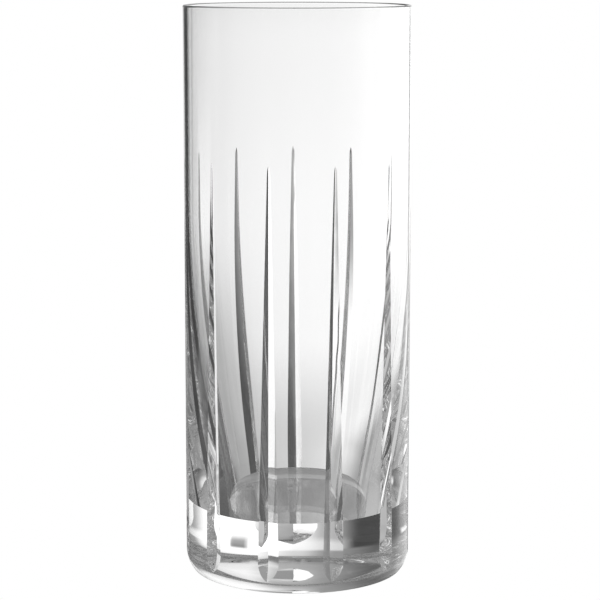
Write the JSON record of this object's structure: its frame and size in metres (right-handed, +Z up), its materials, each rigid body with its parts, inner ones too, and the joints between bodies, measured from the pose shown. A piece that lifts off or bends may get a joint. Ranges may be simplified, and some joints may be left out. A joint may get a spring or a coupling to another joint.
{
  "type": "collins glass",
  "caption": "Tall straight-sided drinking glass in cut crystal, with a thin wall, a thick solid base and eleven long mitre cuts that taper up the wall.",
  "frame": {"origin": "on the table, under the middle of the base", "axes": "+Z up along the glass's axis, out of the mouth; the picture is taken from the -Y side"},
  "size_m": [0.062, 0.062, 0.156],
  "materials": {
    "cut_crystal": "clear, fire-polished inside and at the rim, acid-polished in the cuts"
  },
  "bodies": {
    "root": {"tumbler": "cut_crystal"}
  },
  "joints": []
}
